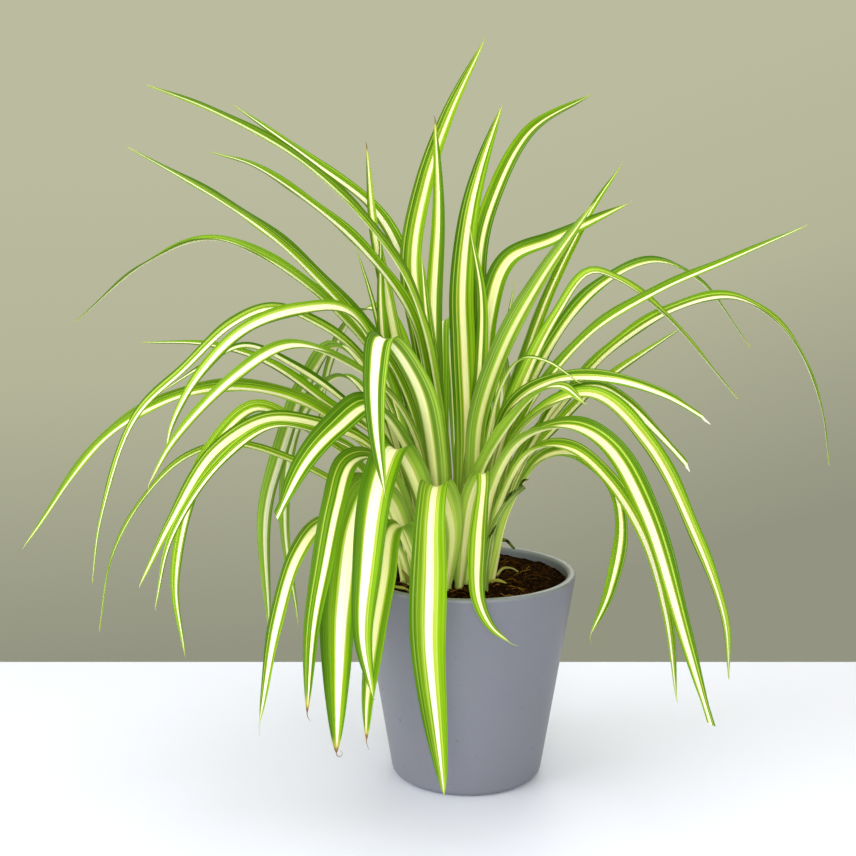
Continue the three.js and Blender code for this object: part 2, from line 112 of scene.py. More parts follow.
# One row a leaf: bearing in degrees (0 right, 90 away, 180 left, 270 towards the viewer), where
# its foot stands, greatest width, roll about its own length in degrees, its route, and the width
# of its tip where that is cut blunt. Foot and route are measured from the middle of the clump:
# [reach, height, sideways sway], and a foot is its reach alone, or [reach, sway]. A roll of two
# numbers turns from the first at the foot to the second at the tip.
LEAVES = {
    "upright": [
        [90, [14, 1], 15, 0,
         [[15, 210, 8], [16, 270, 19], [18, 318, 26], [24, 365, 18], [30, 408, 3], [36, 452, -19]]],
        [90, [9, 5], 12, 0, [[9, 220, 10], [10, 285, 12], [11, 350, 9], [13, 403, 11]]],
        [90, [3, 6], 10, 0, [[3, 190, 7], [3, 252, 12], [4, 290, 16], [5, 321, 19]]],
        [90, [3, -3], 17, 0,
         [[3, 206, -8], [4, 267, -6], [6, 302, -5], [8, 345, -9], [11, 374, -16], [16, 411, -29]]],
        [50, 12, 12, 40, [[20, 215], [24, 270], [25, 327], [38, 357], [74, 398], [146, 427]]],
        [90, [-4, 0], 9, 0, [[-4, 218, -13], [-4, 264, -17], [-4, 300, -17], [-2, 338, -10]]],
        [145, 22, 10, -40, [[25, 205], [40, 255], [49, 292], [60, 338], [65, 389]]],
        [160, 18, 9, -50, [[21, 159], [35, 222], [44, 259], [47, 290], [47, 337]]],
        [158, 23.5, 5, -50, [[26, 161], [39, 232], [47, 268], [54, 296], [64, 326]]],
        [27, 13, 15, 45, [[20, 215], [24, 285], [37, 319], [70, 332], [126, 354]]],
        [314, 11, 14, -35, [[18, 180], [22, 226], [40, 269], [69, 311], [106, 352]]],
        [30, 20, 9, 35, [[32, 203], [49, 249], [73, 303], [102, 350], [125, 378]]],
        [50, 21, 5, 40, [[34, 160], [42, 221], [54, 275], [62, 304]]],
    ],
    "left_high": [
        [214, 7, 15, -35, [[12, 236], [31, 303], [62, 343], [107, 378], [155, 400], [190, 411]]],
        [160, [21, -15], 13, -30,
         [[28, 250, -20], [35, 293, -21], [43, 324, -20], [62, 351, -24], [100, 382, -11], [149, 415, -7]]],
        [196, 10, 16, -35, [[15, 230], [28, 288], [55, 325], [84, 351], [119, 374], [142, 381]]],
        [183, 14.5, 17, -30, [[20, 205], [35, 251], [62, 287], [105, 331], [140, 356], [190, 385]]],
        [175, 18, 16, [-30, -5],
         [[32, 212], [48, 259], [76, 292], [114, 320], [148, 332], [188, 318], [234, 282]]],
    ],
    "left": [
        [172, 24.5, 10, -25, [[32, 173], [46, 209], [78, 231], [115, 256], [153, 267], [196, 268]]],
        [192, 19.5, 11, -30,
         [[34, 220], [60, 265], [86, 284], [109, 292], [132, 283], [161, 257], [189, 230],
         [211, 170], [217, 134]]],
        [206, 15.5, 15, -30,
         [[27, 190], [48, 258], [69, 290], [97, 292], [131, 282], [158, 258], [174, 232], [178, 217]]],
        [224, 16, 12, -25,
         [[25, 195], [49, 238, 2], [86, 264, 1], [124, 276], [160, 263], [200, 233], [215, 213]]],
        [184, 22.5, 10, -20, [[36, 198], [65, 233], [96, 256], [125, 269], [149, 258], [175, 242]]],
        [185, 27, 13, -30, [[41, 190], [65, 217], [99, 238], [139, 244], [174, 236], [211, 213], [259, 150]]],
        [203, 28, 13, -30, [[35, 168], [54, 208], [88, 225], [117, 229], [148, 213], [174, 175], [193, 140]]],
        [217, 28, 8, -25,
         [[38, 160], [64, 205], [103, 226], [130, 230], [164, 210], [190, 176], [200, 141]]],
        [181, 31, 8, -25,
         [[42, 168], [73, 184], [100, 198], [136, 208], [166, 198], [193, 170], [211, 136], [220, 91]]],
        [197, 33, 12, [-15, -55],
         [[41, 165], [63, 200, -1], [97, 224, -5], [121, 234, -5], [146, 212, -3],
         [160, 183], [170, 134], [166, 91]]],
        [146, 27, 15, [-20, 55],
         [[38, 185], [65, 246], [90, 263], [115, 237], [139, 186], [153, 144], [151, 61]]],
        [134, 29, 11, [-20, 40],
         [[46, 180], [76, 226], [103, 241], [134, 224], [159, 190], [169, 130], [155, 60]]],
        [215, 33, 12, [-20, -35],
         [[42, 150, -2], [62, 164, -8], [86, 167, -11], [107, 153, -4], [124, 118, 1], [139, 63, 6]]],
    ],
    "front": [
        [247, 26, 19, -12,
         [[33, 193, 1], [58, 248, 2], [86, 279, -7], [99, 262, -5], [107, 232, -1], [110, 199, 5]]],
        [230, 25, 21, [-20, -30], [[31, 175], [49, 216], [76, 240], [104, 230], [128, 214], [150, 186]], 5],
        [262, 30, 24, 0,
         [[40, 160, 4], [60, 186, 2], [82, 197], [99, 184], [104, 158], [107, 112], [110, 31, 9]]],
        [279, 26, 14, 0,
         [[42, 180, 3], [60, 200, 6], [74, 198, 4], [79, 166], [82, 134], [84, 118, 7], [86, 109, 17]]],
        [230, 28, 16, -20,
         [[41, 165], [66, 206, -2], [95, 209, 2], [110, 189, 6],
         [120, 156, 6], [127, 122, 4], [133, 76, 5]]],
        [239, 31, 25, [-5, -30],
         [[44, 150, -6], [58, 182, -12], [72, 191, -15], [83, 173, -19],
         [90, 128, -23], [95, 84, -22], [99, 40, -20]]],
        [251, 31, 21, -5,
         [[47, 183, -5], [64, 209, -9], [84, 217, -8], [104, 199, -9],
         [117, 160, -10], [122, 122, -11], [124, 90, -5]]],
        [240, 37, 17, 0,
         [[47, 150], [59, 167], [71, 167, 1], [80, 143, 2], [89, 112, 1], [97, 76], [100, 53]]],
        [298, 18, 16, 20, [[24, 168, -2], [40, 200, -1], [70, 232], [97, 251], [120, 256], [139, 250]]],
    ],
    "right": [
        [1, 17, 15, [60, 5],
         [[27, 199], [42, 243], [63, 287], [82, 312], [99, 308], [128, 287], [174, 236]]],
        [12, 21, 14, [30, 10], [[35, 205], [57, 258], [90, 301], [128, 318], [158, 306], [194, 264]]],
        [352, 23, 9, 40, [[35, 200, 1], [47, 232], [63, 256], [88, 282], [124, 304], [164, 322], [204, 340]]],
        [8, 25, 11, 30,
         [[40, 193], [63, 224], [97, 263], [138, 289], [176, 296], [212, 274], [236, 229], [244, 189]]],
        [22, 26, 8, 30, [[40, 182], [70, 214], [101, 240], [162, 275]]],
        [338, 16, 15, 30, [[24, 190], [38, 232], [63, 249], [98, 252], [130, 244], [157, 230]], 5],
        [346, [27, -3], 13, 30,
         [[38, 180, -3], [52, 213], [70, 240], [88, 245], [104, 237], [126, 217], [144, 198]], 5],
        [330, 21, 14, 25, [[30, 185], [52, 226], [91, 244], [125, 219], [154, 170], [173, 124], [177, 90]]],
        [310, 25, 17, 15,
         [[38, 185], [61, 217], [98, 230], [128, 222], [155, 191], [184, 127], [202, 87]], 4],
        [318, 27, 11, 20, [[40, 179], [62, 211], [89, 215], [114, 201], [138, 173], [154, 132], [162, 85]]],
        [329, [28, -1], 14, [10, 60],
         [[42, 174, -2], [60, 203], [81, 209], [103, 196], [111, 172], [105, 131], [94, 103]]],
        [317, 17, 6, 20, [[26, 205, 1], [38, 247, 1], [53, 264], [72, 264], [94, 254]]],
    ],
    "back": [
        [66, 27, 14, 0,
         [[40, 185, 3], [70, 235, 8], [110, 252, 15], [150, 225, 25], [178, 165, 36], [185, 110, 46]]],
        [82, 31, 15, 10, [[44, 180], [75, 215], [115, 222], [150, 185], [168, 130], [172, 75]]],
        [90, 24, 14, -10,
         [[37, 190, 6], [64, 250, 7], [105, 275, 6], [150, 255, -1], [190, 200, -5], [205, 140, -6]]],
        [104, 30, 16, 0, [[43, 175], [72, 220], [112, 232], [152, 200], [178, 140], [184, 80]]],
        [118, 32, 13, -15, [[42, 190], [62, 250], [94, 282], [140, 278], [185, 240], [210, 180]]],
    ],
}

# How far up from the soil a leaf stays pale, in metres
PALE_TO = 0.115

# How strongly a leaf glows with its own colour, as painted light that stands in for light coming through the
# thin blade
GLOW = 0.11

# How each group shows its stripe: half its share of the width and how far it lies off the middle,
# each from the least to the most, and how yellow its cream is
GROUP_LOOKS = {
    "upright": ((0.22, 0.36), (-0.12, 0.2), 0.6),
    "left_high": ((0.3, 0.38), (0.1, 0.3), 0.25),
    "left": ((0.3, 0.44), (0.0, 0.26), 0.2),
    "front": ((0.22, 0.36), (-0.05, 0.15), 0.05),
    "right": ((0.28, 0.4), (-0.3, -0.06), 0.15),
    "back": ((0.22, 0.36), (-0.15, 0.15), 0.3),
}

# What single leaves show in the photograph. stripe and shift are as above, and cream is how yellow
# it is. tone sets how light the green is, and the sign of the side value picks the margin that is
# darkened as painted shade, where that half of the folded blade turns from the light. pale_to is how
# far up the foot stays pale. The blade is dry from dry_from on, and white from bleached_from on, both
# as shares of its length. hair is the dry thread on its tip, as its length and how far it curls in
# degrees, pinch is where a fold draws the blade in and by how much, and slant is how far a blunt
# tip is cut aslant.
LOOKS = {
    "upright_1": dict(stripe=0.22, shift=-0.28, dark_side=1),
    "upright_2": dict(stripe=0.32, shift=0.02, dry_from=0.99, hair=(3, 30)),
    "upright_3": dict(stripe=0.24),
    "upright_4": dict(stripe=0.24, shift=-0.1, dark_side=1),
    "upright_5": dict(stripe=0.2, shift=-0.2, dark_side=-1),
    "upright_7": dict(stripe=0.4, shift=0, dry_from=0.99, hair=(3, 20)),
    "upright_8": dict(stripe=0.3),
    "upright_10": dict(stripe=0.36, shift=-0.15),
    "upright_11": dict(stripe=0.24, shift=0.15),
    "upright_12": dict(stripe=0.17, shift=0),
    "left_high_3": dict(stripe=0.34, shift=0.12, tone=0.25),
    "left_high_4": dict(stripe=0.36, shift=0.28, tone=0.15, dark_side=-1),
    "left_high_5": dict(tone=0.4),
    "left_2": dict(stripe=0.4, shift=0.2, tone=0.3, dark_side=-1),
    "left_3": dict(stripe=0.42, shift=-0.02, tone=0.3),
    "left_4": dict(stripe=0.42, shift=0.06, tone=0.45),
    "left_5": dict(stripe=0.5, shift=0.1),
    "left_6": dict(stripe=0.34, shift=0.3, tone=0.7),
    # left_11 and left_12 hang at the back, and their lowest tone darkens them as painted shade
    "left_11": dict(stripe=0.34, shift=-0.2, tone=0),
    "left_12": dict(stripe=0.3, shift=-0.1, tone=0),
    "left_13": dict(stripe=0.42, shift=0.1, cream=-1, hair=(8, 20)),
    "front_1": dict(stripe=0.34, shift=-0.06, tone=0.1, dark_side=-1, cream=-0.2),
    "front_2": dict(stripe=0.25, shift=0.2, tone=0, dark_side=-1),
    "front_3": dict(stripe=0.22, shift=0.04, cream=-0.2, pinch=(0.4, 0.25)),
    "front_4": dict(stripe=0.3, shift=0.05, pinch=(0.52, 0.42), hair=(6, 40)),
    "front_5": dict(stripe=0.24, shift=0.2, dry_from=0.985, hair=(5, 60)),
    "front_6": dict(
        stripe=0.3, shift=0.2, tone=0.2, dark_side=-1, cream=-0.6, dry_from=0.985, hair=(8, 250),
    ),
    "front_7": dict(stripe=0.32, shift=-0.06, tone=0.2, dark_side=-1, cream=-0.4, hair=(3, 40)),
    "front_8": dict(stripe=0.24, shift=-0.25, cream=0.4, pale_to=0.05, dry_from=0.98, hair=(6, 40)),
    "right_1": dict(tone=0.5, pinch=(0.56, 0.35)),
    "right_2": dict(stripe=0.4, shift=-0.22, tone=0.4),
    "right_3": dict(stripe=0.34, shift=-0.35, tone=0.6),
    "right_4": dict(stripe=0.42, shift=-0.25, tone=0.3),
    "right_6": dict(
        stripe=0.42, shift=-0.2, tone=0.15, dark_side=1, cream=-0.4, bleached_from=0.98, slant=-2,
    ),
    "right_7": dict(
        stripe=0.5, shift=-0.16, tone=0.15, dark_side=1, cream=-0.4, bleached_from=0.98, slant=-1.4,
    ),
    "right_8": dict(stripe=0.3, shift=-0.05, tone=0.5),
    "right_9": dict(stripe=0.34, shift=-0.14, tone=0.3, dark_side=1),
    "right_11": dict(stripe=0.26, shift=0.05, pinch=(0.62, 0.42), hair=(7, 60)),
}

# A share of the length that no leaf reaches
NEVER = 1.5

# How a blade looks where nothing else is said. buried is how deep its foot stands, twist and ripple
# are how strong those two are, and uncut is 0 where the tip is cut blunt
PLAIN_LOOK = dict(
    stripe=0.2, shift=0, cream=1, dark_side=1, dry_from=NEVER, bleached_from=NEVER,
    uncut=1, slant=0, pale_to=PALE_TO, pinch=(0.5, 0), ripple=1, hair=(0, 0),
)

# The looks that the leaf's finish reads, each one value all over a blade
PAINTED_LOOKS = (
    "stripe", "shift", "tone", "cream", "dark_side", "dry_from", "bleached_from", "uncut", "pale_to",
)

# Dead scale leaves at the foot of the clump and on the flower stalk: route, width and roll
SCRAPS = {
    "dry_scale_1": ([[9, -20, 123], [13, -23, 127], [18, -26, 129], [23, -28, 128]], 3, 20),
    "dry_scale_2": ([[-34, -34, 123], [-38, -38, 127], [-43, -41, 129], [-47, -42, 131]], 3, -30),
    "dry_scale_3": ([[-33, -26, 123], [-36, -31, 131], [-40, -34, 138]], 3, 40),
    "dry_scale_4": ([[19, 6, 123], [23, 5, 128], [28, 3, 129], [32, 2, 127]], 3, -20),
    "dry_scale_5": ([[-12, 34, 123], [-15, 42, 131], [-20, 50, 128]], 4, 15),
}
BRACTS = {
    "bract_low": ([[12, -36, 158], [14, -38, 162], [16, -38, 166]], 2.5, 30),
    "bract_high": ([[22, -36, 180], [24, -38, 184], [27, -38, 187]], 2.5, 40),
    "bract_end": ([[30, -36, 189], [32, -36, 192], [35, -36, 193]], 2.5, 10),
}
BRACT_DEPTH = 0.5

# The cut flower stalk and the bent stub of an older stem behind the clump: route, radii at shares of
# the length, faces along it and round it, and ribs. The stalk swells a little at its cut end
STEMS = {
    "cut_stalk": (
        [[10, -33, 116], [10, -33, 126], [11, -34, 144], [15, -35, 165], [24, -36, 181],
         [32, -36, 189]],
        [(0, 1.8), (0.6, 1.8), (0.93, 1.53), (1, 1.8)], (40, 20), 7,
    ),
    "dead_stub": (
        [[16, 24, 120], [18, 24, 134], [21, 24, 141], [25, 24, 142], [31, 25, 136]],
        [(0, 1.4), (0.5, 1.0), (0.62, 1.3), (1, 0.7)], (30, 12), 5,
    ),
}
RIB_DEPTH = 0.05

# The stalk's pale lines, as radians of their wave once round it, and the heights in metres where it
# turns dry
STALK_WAVE = 44
STALK_DRY = (0.181, 0.19)

# Soil: its unevenness as the length, seed and height of each kind, and its faces
SOIL_DIP = 0.6
SWELLS = (21, 3.1, 1.5)
CLODS = (5.5, 8.2, 2.4)
GRIT = (1.9, 1.4, 0.6)
SOIL_SIDES = 150
SOIL_RINGS = 66
SOIL_LOWEST = 6.3
SOIL_SHOULDER = 11
SOIL_ROOM = 0.3

# Loose fibres and crumbs that lie on the soil, clear of the pot. Pairs are the least and the most
LITTER_ROOM = 3
FIBRES = 420
FIBRE_STEPS = 7
FIBRE_SIDES = 4
FIBRE_LENGTH = (5, 26)
FIBRE_RADIUS = (0.1, 0.28)
FIBRE_ARCH = (0, 1.6)
FIBRE_BEND = 0.22
CRUMBS = 700
CRUMB_SIZE = (0.4, 1.5)
CRUMB_STRETCH = (0.6, 1.5)
CRUMB_KNOCK = (0.7, 1.2)
CRUMB_TONE = (0, 0.6)
CRUMB_FLATNESS = 0.8
CRUMB_LIFT = 0.2

# Seeds of the random draws
LEAF_SEED = 7
SCRAP_SEED = 3
BRACT_SEED = 11
FIBRE_SEED = 21
CRUMB_SEED = 5

# The photograph's view and its surroundings, in metres and radians
CAMERA_PLACE = (-0.02425, -0.8, 0.342)
CAMERA_DROP = 0.1537
PICTURE_WIDTH = 856
FOCAL_LENGTH = 1324
SENSOR_WIDTH = 36
TABLE_BACK = 0.203
TABLE_WIDTH = 3.2
TABLE_DEPTH = 1.9
WALL_FADE = 0.31
WALL_SHADE = 0.36

# Round lamps, all aimed at the plant's middle: place and size in metres, and power in watts
LAMPS_AIM = (-0.02, 0, 0.22)
LAMPS = {
    "front_left": ((-1.4, -0.75, 0.8), 1.2, 18.5),
    "front_right": ((1.1, -1.1, 0.8), 1.2, 5.2),
    "front": ((-0.02, -1.3, 0.42), 0.6, 8.6),
    "overhead": ((0, -0.1, 1.7), 1.4, 12),
    "behind": ((0.3, 1.2, 1.0), 1.0, 6),
}


class Value:
    """A node's output, on which Python's operators add Math nodes."""

    def __init__(self, nodes, socket):
        self.nodes = nodes
        self.socket = socket

    def math(self, operation, *others):
        values = dict(enumerate((self, *others)))
        return self.nodes.node("ShaderNodeMath", {"operation": operation}, values)

    def __add__(self, other):
        return self.math("ADD", other)

    def __sub__(self, other):
        return self.math("SUBTRACT", other)

    def __mul__(self, other):
        return self.math("MULTIPLY", other)

    def __rsub__(self, other):
        return (self * -1).math("ADD", other)

    __radd__ = __add__
    __rmul__ = __mul__

    def size(self):
        return self.math("ABSOLUTE")


class Nodes:
    """The nodes of a material or a world, and the few moves that they are made with."""

    def __init__(self, owner):
        owner.use_nodes = True
        self.owner = owner
        self.tree = owner.node_tree

    def node(self, kind, settings, values, output=0):
        made = self.tree.nodes.new(kind)
        for name, setting in settings.items():
            if name == "stops":
                fill_ramp(made.color_ramp, setting)
            else:
                setattr(made, name, setting)
        for name, value in values.items():
            if isinstance(value, Value):
                self.tree.links.new(value.socket, made.inputs[name])
            else:
                made.inputs[name].default_value = value
        return Value(self, made.outputs[output])

    def part(self, place, axis):
        return self.node("ShaderNodeSeparateXYZ", {}, {"Vector": place}, axis)

    def ramp(self, value, stops):
        return self.node("ShaderNodeValToRGB", {"stops": stops}, {"Fac": value})

    def wire(self, into="Principled BSDF", **values):
        inputs = self.tree.nodes[into].inputs
        for socket, value in values.items():
            self.tree.links.new(value.socket, inputs[socket.replace("_", " ")])
        return self.owner


class Finish(Nodes):
    """A material on Principled BSDF, with the patterns that are drawn on it."""

    def __init__(self, name, **uniform):
        super().__init__(bpy.data.materials.new(name))
        inputs = self.tree.nodes["Principled BSDF"].inputs
        for socket, value in uniform.items():
            inputs[socket.replace("_", " ")].default_value = value

    def attribute(self, name):
        return self.node("ShaderNodeAttribute", {"attribute_name": name}, {}, "Fac")

    def place(self):
        return self.node("ShaderNodeTexCoord", {}, {}, "Object")

    def point(self, x, y, z):
        return self.node("ShaderNodeCombineXYZ", {}, {0: x, 1: y, 2: z})

    def noise(self, place, scale, detail=2.0, roughness=0.5):
        values = {"Vector": place, "Scale": scale, "Detail": detail, "Roughness": roughness}
        return self.node("ShaderNodeTexNoise", {}, values)

    def step(self, value, low, high):
        """0 below low, 1 above high, and a smooth rise between them."""
        values = {"Value": value, "From Min": low, "From Max": high}
        return self.node("ShaderNodeMapRange", {"interpolation_type": "SMOOTHSTEP"}, values)

    def mix(self, share, first, second):
        values = {"Factor": share, 6: first, 7: second}
        return self.node("ShaderNodeMix", {"data_type": "RGBA"}, values, 2)

    def bump(self, height, distance, strength=1.0):
        values = {"Height": height, "Distance": distance, "Strength": strength}
        return self.node("ShaderNodeBump", {}, values)


def fill_ramp(ramp, stops):
    while len(ramp.elements) < len(stops):
        ramp.elements.new(1.0)
    for element, (position, colour) in zip(ramp.elements, stops.items()):
        element.position = position
        element.color = rgb(*colour)


def rgb(red, green, blue):
    """A colour named by its 0 to 255 screen values, as the light that it stands for."""
    shares = [value / 255 for value in (red, green, blue)]
    light = [s / 12.92 if s <= 0.04045 else ((s + 0.055) / 1.055) ** 2.4 for s in shares]
    return (*light, 1.0)


def leaf_finish():
    """Cream stripe between green margins with fine lines, pale at the foot and dry at the tip.

    One margin and the edges of the feet carry painted shade, and the whole blade a painted glow.
    """
    leaf = Finish("leaf_skin", Specular_IOR_Level=0.06, Emission_Strength=GLOW)
    across, along, share, under = map(leaf.attribute, ("across", "along", "share", "under"))
    stripe, shift, tone, cream_share, dark_side, dry_from, bleached_from, uncut, pale_to = map(
        leaf.attribute, PAINTED_LOOKS
    )

    drift = leaf.noise(leaf.point(tone * 40, along * 12, 0.0), 1.0, 1.0)
    patches = leaf.noise(leaf.point(across * 1.2, along * 20, tone * 31), 1.0, 3.0)
    bands = leaf.noise(leaf.point(across * 3.2, along * 1.1, tone * 73), 1.0, 2.0, 0.6)
    lines = leaf.noise(leaf.point(across * 6.5, along * 0.9, tone * 57), 1.0, 0.0)
    veins = leaf.noise(leaf.point(across * 8, along * 0.7, tone * 91), 1.0, 0.0)
    threads = leaf.noise(leaf.point(across * 15, along * 5, tone * 11), 1.0, 2.0, 0.6)

    lean = across - shift - (drift - 0.5) * 0.2
    tapering = 1.25 - leaf.step(share, 0.02, 0.35) * 0.25 - leaf.step(share, 0.65, 1.0) * uncut * 0.3
    outside = lean.size() - stripe * tapering - (threads - 0.5) * 0.07
    white = 1.0 - leaf.step(outside, -0.05, 0.03)
    bleached = leaf.step(share - bleached_from, -0.006, 0.008)
    bleached = bleached * (1.0 - leaf.step(across * dark_side, 0.05, 0.3))
    white = white.math("MAXIMUM", bleached)
    fringe = 1.0 - leaf.step(outside, 0.01, 0.13)
    foot = 1.0 - leaf.step(along, 0.01, pale_to)

    green = leaf.ramp(
        bands * 0.75 + patches * 0.2 + tone * 0.22 - 0.12,
        {0.28: (64, 107, 0), 0.42: (96, 141, 0), 0.54: (121, 159, 12), 0.7: (154, 184, 52)},
    )
    # Painted shade: the margin on one side is darkened, where that half of the folded blade turns from the
    # light
    shaded_margin = leaf.step(across * dark_side, 0.15, 0.8) * leaf.step(share, 0.1, 0.5)
    green = leaf.mix(shaded_margin * 0.7, green, rgb(40, 82, 6))
    pale_line = leaf.step(lines, 0.56, 0.74) * (1.0 - leaf.step(across.size(), 0.8, 0.95))
    green = leaf.mix(pale_line * 0.62, green, rgb(184, 204, 82))
    green = leaf.mix(leaf.step(veins, 0.56, 0.72) * 0.5, green, rgb(56, 98, 0))
    green = leaf.mix(leaf.step(threads, 0.5, 0.68) * 0.22, green, rgb(164, 192, 84))
    line_colour = leaf.mix(leaf.step(lean, -0.1, 0.1), rgb(170, 190, 50), rgb(198, 188, 84))
    green = leaf.mix(fringe * 0.6, green, line_colour)
    green = leaf.mix(foot * (0.05 + bands * 0.85), green, rgb(190, 216, 86))
    # Painted shade: the edges of the feet are darkened where they overlap their neighbours in the clump
    feet_shade = foot * leaf.step(across.size(), 0.74, 0.98)
    green = leaf.mix(feet_shade * 0.6, green, rgb(74, 108, 8))

    age = leaf.step(along, 0.03, 0.26) * (1.0 - cream_share)
    cream = leaf.mix(age, rgb(230, 227, 152), rgb(229, 228, 214))
    cream = leaf.mix(leaf.step(threads, 0.46, 0.72) * 0.35, cream, rgb(226, 230, 170))
    cream = leaf.mix(leaf.step(veins, 0.6, 0.66) * 0.35, cream, rgb(176, 204, 84))
    cream = leaf.mix(leaf.step(lean, 0.02, 0.2) * 0.3, cream, rgb(236, 226, 158))
    skin = leaf.mix(white, green, cream)
    skin = leaf.mix(under * 0.18, skin, rgb(170, 196, 96))
    skin = leaf.mix(leaf.step(share, 0.95, 1.0) * uncut * 0.45, skin, rgb(170, 182, 76))

    dry_edge = share - dry_from + (threads - 0.5) * 0.02
    withered = leaf.step(dry_edge, -0.004, 0.008)
    skin = leaf.mix(leaf.step(dry_edge, -0.03, 0.0) * 0.5, skin, rgb(186, 166, 78))
    skin = leaf.mix(withered, skin, leaf.mix(patches, rgb(58, 34, 18), rgb(140, 104, 60)))
    specks = leaf.step(leaf.noise(leaf.place(), 380.0, 1.0), 0.79, 0.83)
    skin = leaf.mix(specks * 0.35, skin, rgb(170, 150, 80))

    gloss = 0.44 + (patches - 0.5) * 0.16 + under * 0.12 + withered * 0.3
    # The glow is painted light, made paler and brighter at the foot where the crown lies in shade
    return leaf.wire(
        Base_Color=skin,
        Emission_Color=leaf.mix(foot * 0.25, skin, rgb(250, 252, 170)),
        Roughness=gloss,
    )


def pot_finish():
    """Satin grey glaze with a bluish cast, a faint mottle, a few pin marks and a lighter lip that is partly a
    painted highlight.
    """
    pot = Finish("pot_glaze", Coat_Roughness=0.3, Coat_IOR=1.45)
    place = pot.place()
    cloud = pot.noise(place, 24.0, 3.0)
    grain = pot.noise(place, 1300.0, 2.0)
    colour = pot.mix(cloud, rgb(106, 108, 120), rgb(114, 116, 127))
    colour = pot.mix(pot.step(grain, 0.35, 0.7) * 0.2, colour, rgb(124, 126, 135))
    # The lip's lighter band is partly the glaze's own colour and partly a painted highlight where the rounded
    # lip catches the light
    lip = pot.step(pot.part(place, "Z"), *LIP_BAND)
    colour = pot.mix(lip * 0.6, colour, rgb(130, 136, 136))
    pins = pot.step(pot.noise(place, 300.0, 0.0), 0.825, 0.84)
    colour = pot.mix(pins * 0.4, colour, rgb(90, 93, 100))
    gloss = 0.44 + (cloud - 0.5) * 0.12 + pins * 0.2
    relief = cloud * 0.6 + grain * 0.12 - pins * 0.3
    return pot.wire(
        Base_Color=colour,
        Roughness=gloss,
        Coat_Weight=0.1 + lip * 0.2,
        Normal=pot.bump(relief, 0.0001, 0.5),
    )


def soil_finish():
    """Damp coir and peat, nearly black in its hollows and rust brown on its crumbs, partly its own colour and
    partly painted shade.
    """
    soil = Finish("coir_soil", Specular_IOR_Level=0.01)
    place = soil.place()
    clods = soil.noise(place, 190.0, 5.0, 0.65)
    dust = soil.noise(place, 900.0, 3.0, 0.7)
    # The colour follows the bump's noise, so the hollows are darkened as painted shade over the peat's own
    # dark mottle
    colour = soil.ramp(
        clods * 0.7 + dust * 0.3,
        {0.36: (8, 4, 0), 0.5: (24, 12, 0), 0.6: (44, 24, 2), 0.74: (86, 54, 10)},
    )
    return soil.wire(
        Base_Color=colour,
        Roughness=0.8 + dust * 0.2,
        Normal=soil.bump(clods + dust * 0.5, 0.0011),
    )


def fibre_finish():
    """Coir fibres from dark brown to ochre, each of one tone."""
    fibre = Finish("coir_fibre", Specular_IOR_Level=0.03)
    tone = fibre.attribute("tone")
    grain = fibre.noise(fibre.place(), 700.0, 2.0)
    colour = fibre.ramp(
        tone * 0.85 + grain * 0.15,
        {0.1: (20, 11, 1), 0.5: (52, 29, 3), 0.78: (92, 58, 10), 0.97: (162, 120, 44)},
    )
    return fibre.wire(
        Base_Color=colour,
        Roughness=0.65 + grain * 0.25,
        Normal=fibre.bump(grain, 0.0001),
    )


def straw_finish():
    """Papery dead leaf, pale straw with brown streaks along it."""
    straw = Finish("dead_leaf", Specular_IOR_Level=0.2)
    across, along, tone = map(straw.attribute, ("across", "along", "tone"))
    streaks = straw.noise(straw.point(across * 7, along * 30, tone * 23), 1.0, 3.0)
    colour = straw.ramp(
        streaks * 0.7 + tone * 0.3,
        {0.25: (110, 96, 34), 0.5: (168, 164, 70), 0.75: (214, 212, 128)},
    )
    return straw.wire(
        Base_Color=colour,
        Roughness=0.6 + streaks * 0.2,
        Normal=straw.bump(streaks, 0.00015),
    )


def twig_finish():
    """The brown dead stub of an old flower stem."""
    twig = Finish("dead_stem", Specular_IOR_Level=0.2)
    bark = twig.noise(twig.place(), 420.0, 4.0)
    colour = twig.ramp(bark, {0.35: (26, 26, 6), 0.5: (54, 62, 14), 0.65: (104, 122, 40)})
    return twig.wire(
        Base_Color=colour,
        Roughness=0.6 + bark * 0.3,
        Normal=twig.bump(bark, 0.0003),
    )


def stalk_finish():
    """A ribbed green stem that dries to straw at its cut end."""
    stalk = Finish("stalk_skin", Specular_IOR_Level=0.35)
    place = stalk.place()
    ribs = (stalk.attribute("around") * STALK_WAVE).math("SINE") * 0.5 + 0.5
    mottle = stalk.noise(place, 240.0, 3.0)
    colour = stalk.mix(mottle, rgb(66, 106, 6), rgb(104, 142, 26))
    colour = stalk.mix(ribs * 0.45, colour, rgb(200, 212, 120))
    dried = stalk.step(stalk.part(place, "Z") + (mottle - 0.5) * 0.012, *STALK_DRY)
    colour = stalk.mix(dried * 0.8, colour, rgb(46, 52, 12))
    return stalk.wire(
        Base_Color=colour,
        Roughness=0.5 + dried * 0.3,
        Normal=stalk.bump(ribs + mottle, 0.0002, 0.7),
    )


def curve_through(points, per_piece=30):
    """Points close together on the smooth curve that the solid leaves follow."""
    knots = np.array(points, float)
    ends = np.vstack([2 * knots[0] - knots[1], knots, 2 * knots[-1] - knots[-2]])
    share = np.linspace(0, 1, per_piece, endpoint=False)[:, None]
    line = []
    for a, b, c, d in zip(ends, ends[1:], ends[2:], ends[3:]):
        before, middle, after = (math.sqrt(np.linalg.norm(gap)) for gap in (b - a, c - b, d - c))
        leave = ((b - a) / before - (c - a) / (before + middle) + (c - b) / middle) * middle
        arrive = ((c - b) / middle - (d - b) / (middle + after) + (d - c) / after) * middle
        squared = (3 * (c - b) - 2 * leave - arrive) * share**2
        cubed = (2 * (b - c) + leave + arrive) * share**3
        line.append(b + leave * share + squared + cubed)
    return np.vstack([*line, knots[-1:]])


